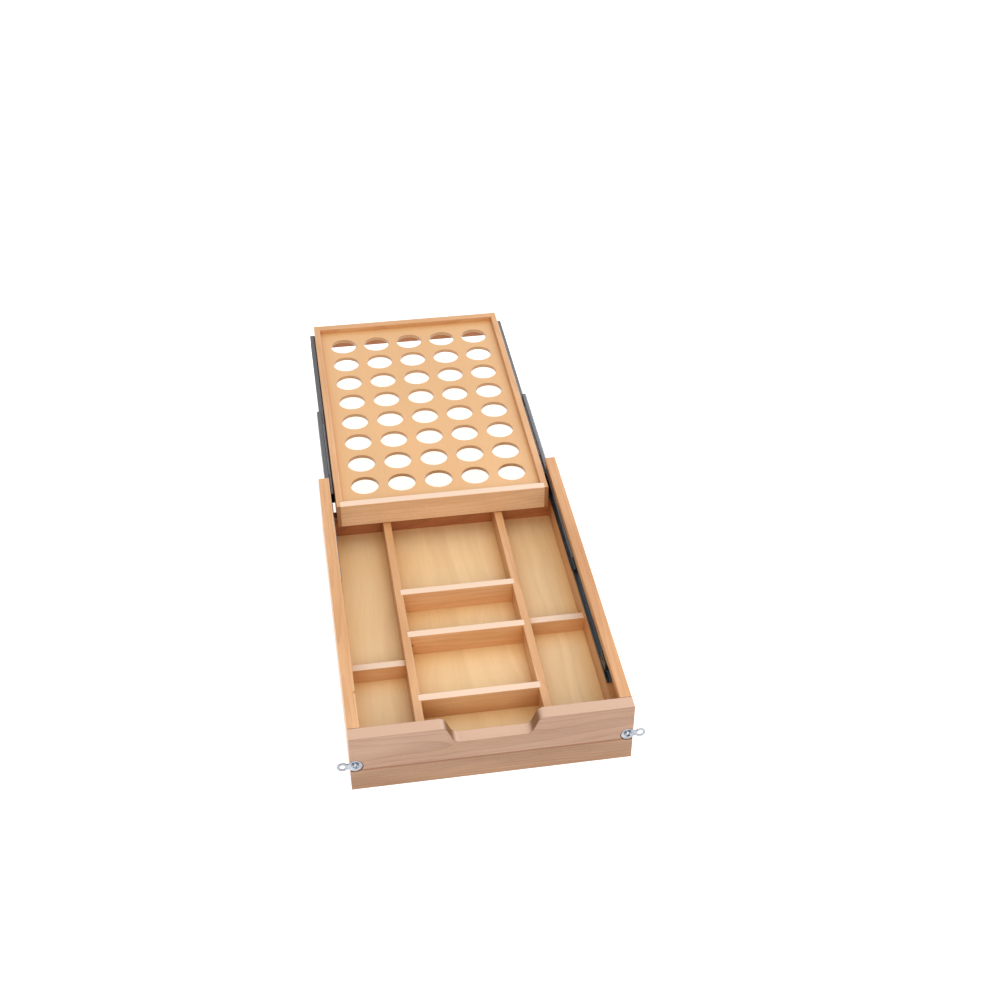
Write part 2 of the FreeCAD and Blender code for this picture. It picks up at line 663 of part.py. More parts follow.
def pod_plate():
    """Plywood plate with a grid of pod holes whose upper rims are eased."""
    reach = TRAY_HALF - TRAY_SIDE_THICK + PLATE_GROOVE_DEPTH - PLATE_END_GAP
    inset = TRAY_END_THICK - PLATE_GROOVE_DEPTH + PLATE_END_GAP
    z0 = PLATE_TOP - PLATE_THICK
    plate = block(-reach, reach, TRAY_FRONT_Y + inset, TRAY_REAR_Y - inset, z0, PLATE_TOP)
    holes = []
    for x, y in pod_places():
        bore = Part.makeCylinder(POD_RADIUS, PLATE_THICK, Vector(x, y, z0), UP)
        rim = Part.makeCone(POD_RADIUS, POD_RADIUS + POD_EASE, POD_EASE,
                            Vector(x, y, PLATE_TOP - POD_EASE), UP)
        holes += [bore, rim]
    return plate.cut(Part.makeCompound(holes))


# ---------------------------------------------------------------- all nodes

def export_box():
    export(front_board(), "front_board")
    export(front_base_rail(), "front_base_rail")
    export(rear_board(), "rear_board")
    export(bottom_panel(), "bottom_panel")
    export(Part.makeCompound(front_dowels()), "front_dowels")
    export(Part.makeCompound(rear_dowels()), "rear_dowels")
    for name, y in CENTRE_DIVIDERS_Y.items():
        export(centre_cross_divider(y), "centre_cross_divider_" + name)
    for side, name in SIDE_NAMES.items():
        export(box_side(side), name + "_side")
        export(long_divider(side), name + "_long_divider")
        export(side_cross_divider(side), name + "_cross_divider")
    export(Part.makeCompound([clip_screw(LEFT), clip_screw(RIGHT)]), "clip_screws")
    export(outer_slide_screws(), "outer_slide_screws")


def export_cage(name, side, y0, lip, back, ball_depth, offset):
    places = ball_places(side, y0, ball_depth, offset)
    export(ball_cage(places, side, y0, lip, back, offset), name + "_ball_cage")
    export(cage_balls(places), name + "_balls")


def export_side_hardware(side, name):
    export(clip(side), name + "_clip")
    export(slide_outer(side), name + "_slide_outer")
    export(slide_middle(side), name + "_slide_middle")
    export(slide_inner(side), name + "_slide_inner")
    export(slide_bumper(side), name + "_slide_bumper")
    export_cage(name + "_outer", side, OUTER_CAGE_Y, OUTER_CAGE_LIP_DEPTH, OUTER_CAGE_BACK_DEPTH,
                OUTER_BALL_DEPTH, OUTER_BALL_OFFSET)
    export_cage(name + "_inner", side, INNER_CAGE_Y, INNER_CAGE_LIP_DEPTH, INNER_CAGE_BACK_DEPTH,
                INNER_BALL_DEPTH, INNER_BALL_OFFSET)
    export(release_lever(side), name + "_release_lever")
    export(lever_pin(side), name + "_lever_pin")


def export_tray():
    export(tray_end(TRAY_FRONT_Y), "tray_front")
    export(tray_end(TRAY_REAR_Y - TRAY_END_THICK), "tray_rear")
    for side, name in SIDE_NAMES.items():
        export(tray_side(side), "tray_" + name + "_side")
    export(pod_plate(), "pod_plate")
    export(tray_brads(), "tray_brads")
    export(inner_slide_screws(), "inner_slide_screws")


export_box()
for hardware_side, hardware_name in SIDE_NAMES.items():
    export_side_hardware(hardware_side, hardware_name)
export_tray()
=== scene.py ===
"""Looks of the two-tier drawer insert: wood, runners, clips, light and camera.

Lengths are in metres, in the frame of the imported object; the lens is in millimetres.
"""

import math

import bmesh
import bpy
from mathutils import Matrix, Vector


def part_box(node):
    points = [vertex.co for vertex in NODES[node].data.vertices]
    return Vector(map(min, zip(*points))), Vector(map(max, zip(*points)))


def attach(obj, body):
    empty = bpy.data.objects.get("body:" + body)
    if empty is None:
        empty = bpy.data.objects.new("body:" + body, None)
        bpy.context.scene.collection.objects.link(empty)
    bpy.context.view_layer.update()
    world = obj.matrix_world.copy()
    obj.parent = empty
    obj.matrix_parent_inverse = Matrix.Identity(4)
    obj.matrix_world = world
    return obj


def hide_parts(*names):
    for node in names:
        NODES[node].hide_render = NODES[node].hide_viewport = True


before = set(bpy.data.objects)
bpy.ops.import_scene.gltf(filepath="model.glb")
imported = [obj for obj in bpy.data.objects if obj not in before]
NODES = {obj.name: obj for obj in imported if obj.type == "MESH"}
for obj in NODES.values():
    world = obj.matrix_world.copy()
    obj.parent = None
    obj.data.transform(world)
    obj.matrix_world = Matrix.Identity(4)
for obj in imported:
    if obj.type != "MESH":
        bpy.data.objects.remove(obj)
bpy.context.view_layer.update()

SIDES = {"left": -1, "right": 1}

# camera
CAMERA_AIM = Vector((0.0881, 0.4811, 0.060))
CAMERA_DISTANCE = 2.328
CAMERA_AZIMUTH = math.radians(9.55)
CAMERA_ELEVATION = math.radians(38.25)
CAMERA_ROLL = math.radians(0.436)
CAMERA_LENS = 54.55
CAMERA_NEAR = 0.05
CAMERA_FAR = 200.0

# light: place, size and watts of each soft box
LIGHT_AIM = (0.0, 0.5, 0.05)
SOFT_BOXES = {
    "overhead_soft_box": ((0.5, 0.7, 2.2), (1.8, 1.8), 12),
    "rear_soft_box": ((1.5, 2.5, 1.2), (1.6, 1.2), 16),
    "front_soft_box": ((-0.1, -1.9, 1.6), (1.4, 1.2), 34),
}
WORLD_STRENGTH = 0.80
FLOOR_GLOW = 0.50
WHITE = (1, 1, 1, 1)
FLOOR_RADIUS = 30.0
FLOOR_SIDES = 96
FLOOR_ROUGHNESS = 0.8
FLOOR_CLOUD = 3.0
FLOOR_TONES = ((0.88, 0.88, 0.88), (0.9, 0.9, 0.9))

# wood tones, and the colours of painted shade and sheen
ROSE = {"pale": (0.365, 0.218, 0.142), "deep": (0.295, 0.158, 0.088)}
RUST = {"pale": (0.335, 0.192, 0.106), "deep": (0.250, 0.128, 0.060)}
# right side: its own amber, made deeper and more orange to stand in for the shade on its inner face:
# partly painted shade
AMBER_SHADED = {"pale": (0.655, 0.345, 0.150), "deep": (0.53, 0.245, 0.085)}
HONEY = {"pale": (0.71, 0.405, 0.195), "deep": (0.60, 0.310, 0.125)}
CREAM = {"pale": (0.76, 0.480, 0.270), "deep": (0.66, 0.390, 0.200)}
# rear board: its own russet, made deeper and redder to stand in for the shade under the tray: partly
# painted shade
RUSSET_SHADED = {"pale": (0.40, 0.140, 0.034), "deep": (0.33, 0.100, 0.022)}
PANEL = {"pale": (0.82, 0.585, 0.315), "deep": (0.77, 0.515, 0.250)}
PLATE = {"pale": (0.73, 0.415, 0.185), "deep": (0.67, 0.37, 0.155)}
# painted sheen: lighter tones for the upward faces of some boards, standing in for the lacquer's sheen
# under the lights
PEACH_SHEEN = (0.80, 0.62, 0.49)
ROSE_SHEEN = (0.62, 0.40, 0.28)
FIBRE_TONE = (0.55, 0.34, 0.2)
FLECK_TONE = (0.42, 0.24, 0.13)
KNOT_TONE = (0.11, 0.045, 0.02)
# colour of the painted shade in the joint of the front board and the rail
SEAM_SHADE_TONE = (0.22, 0.085, 0.028)
END_GRAIN = (0.60, 0.50, 0.42)
# colour of the painted shade in the corners between boards
WARM_SHADE = (0.90, 0.76, 0.56)
UNDER_SHADE = (0.52, 0.40, 0.30)
VENEER_FIGURE = (0.62, 0.39, 0.19)
VENEER_FIBRE = (0.5, 0.3, 0.15)
PALE_LAYER = (0.55, 0.33, 0.16)
DARK_LAYER = (0.30, 0.15, 0.065)

# growth rings of beech; at scale 1 the wave node draws rings as wide as RING_UNIT
RING_UNIT = math.pi / 10
RING_WIDTH = 0.0030
RING_STRETCH = (0.25, 1, 1)
RING_DISTORTION = 1.0
RING_DETAIL = 2.0
RING_DETAIL_SCALE = 0.6
LATE_WOOD_POWER = 3.0
LATE_WOOD_DEPTH = 0.26
GOLDEN_ANGLE = math.radians(137.5)
HEART_REACH = 0.055
HEART_STEP = 0.004
HEART_STEPS = 5
HEART_TILT_Y = math.radians(0.8)
HEART_TILT_Z = math.radians(1.1)

# beech: scale of each noise along and across a board, the noise values between which it fades in
# (span), and how strongly it shows (depth)
BEECH_WAVER = (3.0, 14.0, 14.0)
BEECH_SWAY = 0.012
BEECH_DRIFT = (4.5, 30, 30)
BEECH_DRIFT_SPAN = (0.32, 0.68)
BEECH_FIBRE = (30, 900, 900)
BEECH_FIBRE_SPAN = (0.35, 0.75)
BEECH_FIBRE_DEPTH = 0.24
BEECH_FIBRE_HEIGHT = 0.00012
BEECH_FLECK = (320, 1500, 1500)
BEECH_FLECK_SPAN = (0.66, 0.74)
BEECH_FLECK_DEPTH = 0.3
BEECH_LACQUER = {"coat": 0.25, "coat_roughness": 0.28}
BEECH_ROUGHNESS = (0.36, 0.52)
BEECH_RELIEF = 0.6

# birch plywood, in the same terms
PLY_LAYER = 0.0012
PLY_LAYER_EDGE = (0.35 * PLY_LAYER, 0.65 * PLY_LAYER)
PLY_LEVEL_FACE = 0.6
PLY_WAVER = (4.0, 9.0, 0.5)
PLY_SWAY = 0.09
PLY_FIGURE = (0.6, 34.0, 1.0)
PLY_FIGURE_SPAN = (0.35, 0.7)
PLY_FIGURE_DEPTH = 0.5
PLY_FIGURE_ROUGHNESS = 0.6
PLY_FIBRE = (22, 700, 700)
PLY_FIBRE_SPAN = (0.4, 0.75)
PLY_FIBRE_DEPTH = 0.09
PLY_FIBRE_HEIGHT = 0.00008
PLY_PATCH = (3.0, 7.0, 1.0)
PLY_PATCH_SPAN = (0.3, 0.7)
PLY_LACQUER = {"coat": 0.3, "coat_roughness": 0.22}
PLY_ROUGHNESS = (0.3, 0.44)
PLY_RELIEF = 0.5

# painted shade and sheen on the boards, their lacquer, and the wood's own marks
LACQUER_SPAN = (0.3, 0.8)
SHADE_REACH = 0.035
SHADE_SAMPLES = 6
SHADE_SPAN = (0.9, 0.35)
SEAM_HEIGHT = 0.035
SEAM_SHADE = (0.0024, 0.00072)
PLATE_UNDERSIDE = 0.0725
TOP_SHEEN_SPAN = (0.7, 0.95)
TOP_SHEEN_DEPTH = 0.75
END_SPAN = (0.7, 0.9)
KNOT_HALO = 3.0
KNOT_HALO_DEPTH = 0.5
KNOT_CORE = 0.6
KNOTS = {
    "centre_cross_divider_middle": (Vector((-0.0795, 0.2125, 0.0297)), 0.0016),
    "left_side": (Vector((-0.1690, 0.0725, 0.0930)), 0.0012),
}

# metal and plastic
DARK_ZINC = (0.165, 0.168, 0.178)
# outer runners: a lighter, bluer copy of the dark zinc, a painted reflection of pale light on the faces
# that look into the box
OUTER_ZINC_REFLECTION = (0.255, 0.310, 0.370)
# lighter tone of the runners' upward faces: painted reflection of the light from above
ZINC_TOP_REFLECTION = (0.185, 0.192, 0.208)
BRIGHT_ZINC = (0.46, 0.49, 0.54)
CAGE_STEEL = (0.42, 0.42, 0.43)
BALL_STEEL = (0.85, 0.85, 0.86)
BLACK_PLASTIC = (0.012, 0.012, 0.013)
ROLLED_STREAK = (4.0, 600.0, 600.0)
PLATED_STREAK = (60.0, 300.0, 300.0)
STREAK_SPAN = (0.4, 0.7)
STREAK_DEPTH = 0.5
STREAK_HEIGHT = 0.00003
MOTTLE_SCALE = 90.0
MOTTLE_ROUGHNESS = 0.7
MOTTLE_SPAN = (0.35, 0.7)
DARKER_METAL = 0.6
TOP_REFLECTION_SPAN = (0.35, 0.9)
SLIDE_ROUGHNESS = 0.34
CAGE_ROUGHNESS = 0.3
BALL_ROUGHNESS = 0.12
PLATED_ROUGHNESS = 0.2
SMOOTHER = 0.08
ROUGHER = 0.12
ROUGHNESS_SPAN = (0.3, 0.7)
PLASTIC_GRAIN = 2600.0
PLASTIC_CLOUD = 60.0
PLASTIC_HEIGHT = 0.00005
PLASTIC_ROUGHNESS = (0.36, 0.5)
PALER_PLASTIC = 1.8
SOFT_RELIEF = 0.5
BUMPER_ROUND = 0.0006
LEVER_ROUND = 0.0005

# clip plates
PLATE_FRONT = -0.0093
PLATE_THICK = 0.0022
CLIP_CENTRE = Vector((0.1776, PLATE_FRONT, 0.0430))
EYE_CENTRE = Vector((0.1940, PLATE_FRONT, 0.0430))
CLIP_BORE = 0.0026
DISH_FLOOR = 0.0060
DISH_RIM = 0.0072
DISH_DEPTH = 0.0010
DISH_BREAK = 0.0003
RING_FLAT = 0.0078
RING_EDGE = 0.0085
EYE_OUTER = 0.0064
EYE_INNER = 0.0047
EDGE_FLAT = 0.0001
NECK_HALF = 0.0044
NECK_THINNER = 0.0004
NECK_START = 0.0075
NECK_END = 0.0050

# clip screws
HEAD_RADIUS = 0.0046
HEAD_HEIGHT = 0.0032
HEAD_SINK = 0.0001
SHANK_RADIUS = 0.0024
SHANK_LENGTH = 0.0125
SHANK_TIP = 0.2
DOME = ((1.0, 0.0), (0.97, 0.4), (0.84, 0.7), (0.55, 0.9), (0.2, 1.0), (0.0, 1.0))
CROSS_WIDTH = 0.34
CROSS_LENGTH = 1.3
CROSS_DEPTH = 0.8
CROSS_OVERSHOOT = 1.4
CROSS_SPIN = math.radians(20)

# mesh work
TURN_STEPS = 48
MERGE_DISTANCE = 1e-7
SMOOTH_ANGLE = math.radians(35)
SHARP_ANGLE = math.radians(50)


# ------------------------------------------------------------------ node materials

class Surface:
    """A node material that is built up one node at a time."""

    def __init__(self, name, roughness=0.5, metallic=0.0, coat=0.0, coat_roughness=0.2):
        self.material = bpy.data.materials.new(name)
        self.material.use_nodes = True
        self.tree = self.material.node_tree
        self.tree.nodes.clear()
        self.shader = self.tree.nodes.new("ShaderNodeBsdfPrincipled")
        self.shader.inputs["Roughness"].default_value = roughness
        self.shader.inputs["Metallic"].default_value = metallic
        self.shader.inputs["Coat Weight"].default_value = coat
        self.shader.inputs["Coat Roughness"].default_value = coat_roughness
        output = self.tree.nodes.new("ShaderNodeOutputMaterial")
        self.tree.links.new(self.shader.outputs["BSDF"], output.inputs["Surface"])

    def node(self, kind, **settings):
        made = self.tree.nodes.new("ShaderNode" + kind)
        for setting, value in settings.items():
            setattr(made, setting, value)
        return made

    def feed(self, socket, value):
        """Link an output, or set a constant, on an input socket."""
        if isinstance(value, bpy.types.NodeSocket):
            self.tree.links.new(value, socket)
        else:
            socket.default_value = value

    def place(self):
        """Position on the object, in the frame's metres."""
        return self.node("TexCoord").outputs["Object"]

    def facing(self):
        """Direction that the surface faces, in the object's own axes."""
        return self.node("TexCoord").outputs["Normal"]

    def upward(self):
        """How far the surface faces up: 1 on top, 0 on a side, -1 underneath."""
        return self.part(self.facing(), "Z")

    def part(self, vector, axis):
        """One of the three numbers of a vector."""
        split = self.node("SeparateXYZ")
        self.feed(split.inputs[0], vector)
        return split.outputs[axis]

    def along(self, position, axis):
        """The same position with its axes reordered, so that X runs along the axis."""
        split = self.node("SeparateXYZ")
        self.feed(split.inputs[0], position)
        join = self.node("CombineXYZ")
        order = {"X": "XYZ", "Y": "YXZ", "Z": "ZXY"}[axis]
        for target, source in zip("XYZ", order):
            self.feed(join.inputs[target], split.outputs[source])
        return join.outputs[0]

    def board(self, node, grain):
        """Position measured from the middle of a CAD node, with X along the grain."""
        return self.along(self.vector("SUBTRACT", self.place(), tuple(centre_of(node))), grain)

    def mapped(self, position, scale=(1, 1, 1), shift=(0, 0, 0), turn=(0, 0, 0)):
        mapping = self.node("Mapping")
        self.feed(mapping.inputs["Vector"], position)
        mapping.inputs["Scale"].default_value = scale
        mapping.inputs["Location"].default_value = shift
        mapping.inputs["Rotation"].default_value = turn
        return mapping.outputs[0]

    def noise(self, position, scale=1.0, detail=2.0, roughness=0.5, colour=False):
        texture = self.node("TexNoise")
        self.feed(texture.inputs["Vector"], position)
        texture.inputs["Scale"].default_value = scale
        texture.inputs["Detail"].default_value = detail
        texture.inputs["Roughness"].default_value = roughness
        return texture.outputs["Color" if colour else "Fac"]

    def swayed(self, position, scale, number, amount):
        """The position, pushed about by a slow noise."""
        waver = self.noise(self.mapped(position, scale, (number, 0, 0)), colour=True)
        push = self.vector("SUBTRACT", waver, (0.5, 0.5, 0.5))
        return self.vector("ADD", position, self.vector("SCALE", push, scale=amount))

    def rings(self, position):
        """Growth rings round the X axis, each rising from 0 to 1 across its width."""
        texture = self.node("TexWave", wave_type="RINGS", rings_direction="X", wave_profile="SAW")
        self.feed(texture.inputs["Vector"], position)
        texture.inputs["Scale"].default_value = RING_UNIT / RING_WIDTH
        texture.inputs["Distortion"].default_value = RING_DISTORTION
        texture.inputs["Detail"].default_value = RING_DETAIL
        texture.inputs["Detail Scale"].default_value = RING_DETAIL_SCALE
        return texture.outputs["Fac"]

    def remap(self, value, span, to=(0.0, 1.0)):
        """The value, stretched so that the span's two ends land on the ends of the other pair."""
        ramp = self.node("MapRange")
        for socket, number in zip(ramp.inputs, (value, *span, *to)):
            self.feed(socket, number)
        return ramp.outputs[0]

    def calculate(self, operation, first, second=0.0):
        maths = self.node("Math", operation=operation)
        self.feed(maths.inputs[0], first)
        self.feed(maths.inputs[1], second)
        return maths.outputs[0]

    def vector(self, operation, first, second=(0, 0, 0), scale=None):
        maths = self.node("VectorMath", operation=operation)
        self.feed(maths.inputs[0], first)
        self.feed(maths.inputs[1], second)
        if scale is not None:
            maths.inputs["Scale"].default_value = scale
        return maths.outputs["Value" if operation == "DISTANCE" else "Vector"]

    def mix(self, factor, first, second, blend="MIX"):
        mixer = self.node("Mix", data_type="RGBA", blend_type=blend)
        self.feed(mixer.inputs[0], factor)
        self.feed(mixer.inputs[6], rgba(first))
        self.feed(mixer.inputs[7], rgba(second))
        return mixer.outputs[2]

    def tinted(self, factor, colour, tint):
        """The colour, multiplied by a tint where the factor is 1."""
        return self.mix(factor, colour, self.mix(1.0, colour, tint, "MULTIPLY"))

    def bump(self, height, depth, strength):
        bump = self.node("Bump")
        bump.inputs["Strength"].default_value = strength
        bump.inputs["Distance"].default_value = depth
        self.feed(bump.inputs["Height"], height)
        self.feed(self.shader.inputs["Normal"], bump.outputs[0])

    def with_painted_corner_shade(self, colour):
        """Painted shade: the colour, warmer and deeper where other boards stand close by and the corners
        lie in shade.
        """
        closeness = self.node("AmbientOcclusion", samples=SHADE_SAMPLES)
        closeness.inputs["Distance"].default_value = SHADE_REACH
        return self.tinted(self.remap(closeness.outputs["AO"], SHADE_SPAN), colour, WARM_SHADE)

    def finish(self, colour, roughness=None):
        self.feed(self.shader.inputs["Base Color"], rgba(colour))
        if roughness is not None:
            self.feed(self.shader.inputs["Roughness"], roughness)
        return self.material


def rgba(colour):
    """Four numbers for a colour given as three; a socket passes through."""
    if isinstance(colour, bpy.types.NodeSocket):
        return colour
    return (*colour, 1.0)


def centre_of(node):
    low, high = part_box(node)
    return (low + high) / 2


# ------------------------------------------------------------------ wood

def growth_rings(surface, board, number):
    """Rings round a heart that lies beside the board, strongest in the late wood."""
    angle = number * GOLDEN_ANGLE
    reach = HEART_REACH + HEART_STEP * (number % HEART_STEPS)
    heart = (0.0, reach * math.cos(angle), reach * math.sin(angle))
    tilt = (0.0, HEART_TILT_Y * math.sin(angle), HEART_TILT_Z * math.cos(angle))
    log = surface.mapped(surface.swayed(board, BEECH_WAVER, number, BEECH_SWAY), shift=heart, turn=tilt)
    return surface.calculate("POWER", surface.rings(surface.mapped(log, RING_STRETCH)), LATE_WOOD_POWER)


def painted_seam_shade(surface, body):
    """Painted shade: a dark line where the front board meets the rail below it, where shade falls in the
    joint.
    """
    height = surface.part(surface.place(), "Z")
    away = surface.calculate("ABSOLUTE", surface.calculate("SUBTRACT", height, SEAM_HEIGHT))
    return surface.mix(surface.remap(away, SEAM_SHADE), body, SEAM_SHADE_TONE)


def shade_below_plate(surface, body):
    """The shade on the part of a tray board that lies lower than the pod plate."""
    height = surface.part(surface.place(), "Z")
    return surface.tinted(surface.calculate("LESS_THAN", height, PLATE_UNDERSIDE), body, UNDER_SHADE)


# Painted sheen: faces that look up are mixed towards a lighter tone, standing in for the lacquer's sheen
# under the lights.
def painted_top_sheen(surface, body, colour):
    return surface.mix(surface.remap(surface.upward(), TOP_SHEEN_SPAN, (0, TOP_SHEEN_DEPTH)), body, colour)


def knot_mark(surface, body, ring_tone, place, radius):
    away = surface.vector("DISTANCE", surface.place(), tuple(place))
    halo = surface.remap(away, (KNOT_HALO * radius, radius), (0, KNOT_HALO_DEPTH))
    core = surface.remap(away, (radius, KNOT_CORE * radius))
    return surface.mix(core, surface.mix(halo, body, ring_tone, "MULTIPLY"), KNOT_TONE)


def dark_ends(surface, body, grain):
    """End grain takes up more lacquer and looks darker than the faces."""
    end = surface.calculate("ABSOLUTE", surface.part(surface.along(surface.facing(), grain), "X"))
    return surface.tinted(surface.remap(end, END_SPAN), body, END_GRAIN)


def beech(node, tone, grain, number):
    """Lacquered beech: soft growth rings, fibres, and short dark flecks along the grain."""
    surface = Surface("wood." + node, **BEECH_LACQUER)
    board = surface.board(node, grain)
    late = surface.calculate("MULTIPLY", growth_rings(surface, board, number), LATE_WOOD_DEPTH)
    fibre = surface.noise(surface.mapped(board, BEECH_FIBRE, (number, 0, 0)), detail=3)
    drift = surface.noise(surface.mapped(board, BEECH_DRIFT, (0, number, 0)), detail=2)
    fleck = surface.noise(surface.mapped(board, BEECH_FLECK, (0, 0, number)), detail=0)
    body = surface.mix(surface.remap(drift, BEECH_DRIFT_SPAN), tone["pale"], tone["deep"])
    body = surface.mix(late, body, tone["deep"], "MULTIPLY")
    fibres = surface.remap(fibre, BEECH_FIBRE_SPAN, (0, BEECH_FIBRE_DEPTH))
    body = surface.mix(fibres, body, FIBRE_TONE, "MULTIPLY")
    body = surface.mix(surface.remap(fleck, BEECH_FLECK_SPAN, (0, BEECH_FLECK_DEPTH)), body, FLECK_TONE)
    # painted shade, then painted sheen on the tops, then knots and end grain
    for mark in PAINTED_BOARD_SHADES.get(node, ()):
        body = mark(surface, body)
    if node in TOP_SHEENS:
        body = painted_top_sheen(surface, body, TOP_SHEENS[node])
    if node in KNOTS:
        body = knot_mark(surface, body, tone["deep"], *KNOTS[node])
    body = dark_ends(surface, body, grain)
    surface.bump(fibre, BEECH_FIBRE_HEIGHT, BEECH_RELIEF)
    return surface.finish(surface.with_painted_corner_shade(body), surface.remap(fibre, LACQUER_SPAN, BEECH_ROUGHNESS))


def birch_ply(node, tone, number):
    """Lacquered birch plywood: faint wavy veneer on the faces, laminations on the edges."""
    surface = Surface("wood." + node, **PLY_LACQUER)
    board = surface.board(node, "Y")
    wave = surface.mapped(surface.swayed(board, PLY_WAVER, number, PLY_SWAY), PLY_FIGURE)
    figure = surface.noise(wave, detail=3, roughness=PLY_FIGURE_ROUGHNESS)
    fibre = surface.noise(surface.mapped(board, PLY_FIBRE), detail=3)
    patch = surface.noise(surface.mapped(board, PLY_PATCH, (0, number, 0)), detail=1)
    face = surface.mix(surface.remap(patch, PLY_PATCH_SPAN), tone["pale"], tone["deep"])
    face = surface.mix(surface.remap(figure, PLY_FIGURE_SPAN, (0, PLY_FIGURE_DEPTH)), face, VENEER_FIGURE)
    fibres = surface.remap(fibre, PLY_FIBRE_SPAN, (0, PLY_FIBRE_DEPTH))
    face = surface.mix(fibres, face, VENEER_FIBRE, "MULTIPLY")
    stripe = surface.calculate("PINGPONG", surface.part(board, "Z"), PLY_LAYER)
    edge = surface.mix(surface.remap(stripe, PLY_LAYER_EDGE), PALE_LAYER, DARK_LAYER)
    level = surface.calculate("ABSOLUTE", surface.upward())
    body = surface.mix(surface.calculate("GREATER_THAN", level, PLY_LEVEL_FACE), edge, face)
    surface.bump(fibre, PLY_FIBRE_HEIGHT, PLY_RELIEF)
    return surface.finish(surface.with_painted_corner_shade(body), surface.remap(fibre, LACQUER_SPAN, PLY_ROUGHNESS))


# ------------------------------------------------------------------ metal and plastic

def rolled_zinc(name, colour, roughness, streak=ROLLED_STREAK, top=None):
    """Plated steel with rolling streaks and a faint mottle; its upper faces may take a lighter tone, a
    painted reflection of the light from above.
    """
    surface = Surface(name, metallic=1.0)
    line = surface.noise(surface.mapped(surface.along(surface.place(), "Y"), streak), detail=3)
    mottle = surface.noise(surface.place(), MOTTLE_SCALE, detail=4, roughness=MOTTLE_ROUGHNESS)
    dark = tuple(DARKER_METAL * part for part in colour)
    body = surface.mix(surface.remap(mottle, MOTTLE_SPAN), colour, dark)
    body = surface.mix(surface.remap(line, STREAK_SPAN, (0, STREAK_DEPTH)), body, dark)
    # painted reflection: upward faces are mixed towards the lighter top tone
    if top is not None:
        body = surface.mix(surface.remap(surface.upward(), TOP_REFLECTION_SPAN), body, top)
    surface.bump(line, STREAK_HEIGHT, SOFT_RELIEF)
    spread = (roughness - SMOOTHER, roughness + ROUGHER)
    return surface.finish(body, surface.remap(mottle, ROUGHNESS_SPAN, spread))


def moulded_plastic(name, colour):
    """Black moulded plastic with a fine spark-eroded texture."""
    surface = Surface(name)
    texture = surface.noise(surface.place(), PLASTIC_GRAIN)
    cloud = surface.noise(surface.place(), PLASTIC_CLOUD)
    body = surface.mix(cloud, colour, tuple(PALER_PLASTIC * part for part in colour))
    surface.bump(texture, PLASTIC_HEIGHT, SOFT_RELIEF)
    return surface.finish(body, surface.remap(cloud, ROUGHNESS_SPAN, PLASTIC_ROUGHNESS))


# ------------------------------------------------------------------ the CAD nodes

BEECH_BOARDS = {
    "front_board": (ROSE, "X"),
    "front_base_rail": (RUST, "X"),
    "left_side": (HONEY, "Y"),
    "right_side": (AMBER_SHADED, "Y"),
    "rear_board": (RUSSET_SHADED, "X"),
    "left_long_divider": (HONEY, "Y"),
    "right_long_divider": (HONEY, "Y"),
    "centre_cross_divider_front": (HONEY, "X"),
    "centre_cross_divider_middle": (HONEY, "X"),
    "centre_cross_divider_rear": (HONEY, "X"),
    "left_cross_divider": (HONEY, "X"),
    "right_cross_divider": (HONEY, "X"),
    "tray_front": (CREAM, "X"),
    "tray_rear": (HONEY, "X"),
    "tray_left_side": (HONEY, "Y"),
    "tray_right_side": (HONEY, "Y"),
    "front_dowels": (HONEY, "Y"),
    "rear_dowels": (HONEY, "X"),
}
PLY_PANELS = {"bottom_panel": PANEL, "pod_plate": PLATE}
# painted shade on some boards: a dark line in the front seam, and the shade below the pod plate
PAINTED_BOARD_SHADES = {
    "front_board": (painted_seam_shade,),
    "front_base_rail": (painted_seam_shade,),
    "tray_rear": (shade_below_plate,),
}
# boards whose upward faces get the painted sheen
TOP_SHEENS = {node: PEACH_SHEEN for node in BEECH_BOARDS if "cross_divider" in node}
TOP_SHEENS["front_board"] = ROSE_SHEEN
TOP_SHEENS["tray_front"] = PEACH_SHEEN


def paint(node, material):
    NODES[node].data.materials.clear()
    NODES[node].data.materials.append(material)


def finish_boards():
    for number, (node, (tone, grain)) in enumerate(BEECH_BOARDS.items()):
        paint(node, beech(node, tone, grain, number))
    for number, (node, tone) in enumerate(PLY_PANELS.items()):
        paint(node, birch_ply(node, tone, number))


def soften(node, width):
    """Round the sharp edges of a CAD node a little with a bevel modifier."""
    bevel = NODES[node].modifiers.new("soft_edges", "BEVEL")
    bevel.width = width
    bevel.segments = 2
    bevel.limit_method = "ANGLE"
    bevel.angle_limit = SHARP_ANGLE


def finish_hardware(bright):
    dark_zinc = rolled_zinc("dark_zinc", DARK_ZINC, SLIDE_ROUGHNESS, top=ZINC_TOP_REFLECTION)
    outer_zinc_reflecting = rolled_zinc("outer_zinc_reflecting", OUTER_ZINC_REFLECTION, SLIDE_ROUGHNESS, top=ZINC_TOP_REFLECTION)
    cage = rolled_zinc("cage_steel", CAGE_STEEL, CAGE_ROUGHNESS)
    ball = rolled_zinc("ball_steel", BALL_STEEL, BALL_ROUGHNESS)
    plastic = moulded_plastic("black_plastic", BLACK_PLASTIC)
    for side in SIDES:
        paint(side + "_slide_outer", outer_zinc_reflecting)
        for part in ("slide_middle", "slide_inner", "lever_pin"):
            paint(side + "_" + part, dark_zinc)
        for row in ("outer", "inner"):
            paint(side + "_" + row + "_ball_cage", cage)
            paint(side + "_" + row + "_balls", ball)
        for part, width in (("slide_bumper", BUMPER_ROUND), ("release_lever", LEVER_ROUND)):
            soften(side + "_" + part, width)
            paint(side + "_" + part, plastic)
        paint(side + "_clip", bright)
    for node in ("clip_screws", "outer_slide_screws", "inner_slide_screws", "tray_brads"):
        paint(node, bright)


# ------------------------------------------------------------------ clips and screws

